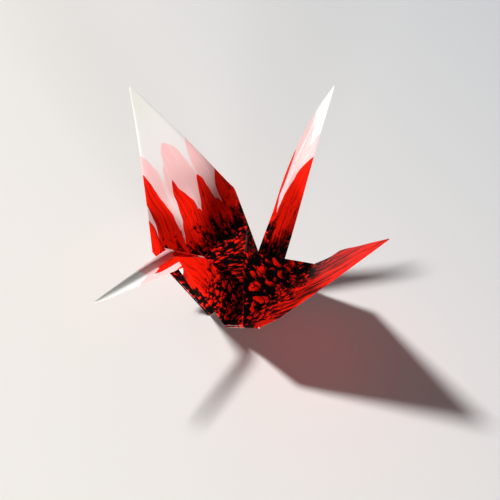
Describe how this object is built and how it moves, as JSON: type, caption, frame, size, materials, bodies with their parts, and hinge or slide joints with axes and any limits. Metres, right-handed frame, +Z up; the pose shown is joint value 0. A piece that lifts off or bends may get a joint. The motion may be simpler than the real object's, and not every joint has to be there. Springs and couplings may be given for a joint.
{
  "type": "origami crane",
  "caption": "Folded paper crane with raised wings, a pointed tail and a bent head, standing on the folded corners of its opened body.",
  "frame": {"origin": "on the surface that the crane stands on, under the middle of the body, midway between the two keel corners", "axes": "+X towards the tail, -X towards the head, +Y towards the higher wing, +Z up as the crane stands"},
  "size_m": [0.1004, 0.0989, 0.0657],
  "materials": {
    "printed_paper": "matt printed paper: rows of plain red leaves on black, with pink and then white towards the corners of the sheet"
  },
  "bodies": {
    "root": {"folded_crane": "printed_paper"}
  },
  "joints": []
}
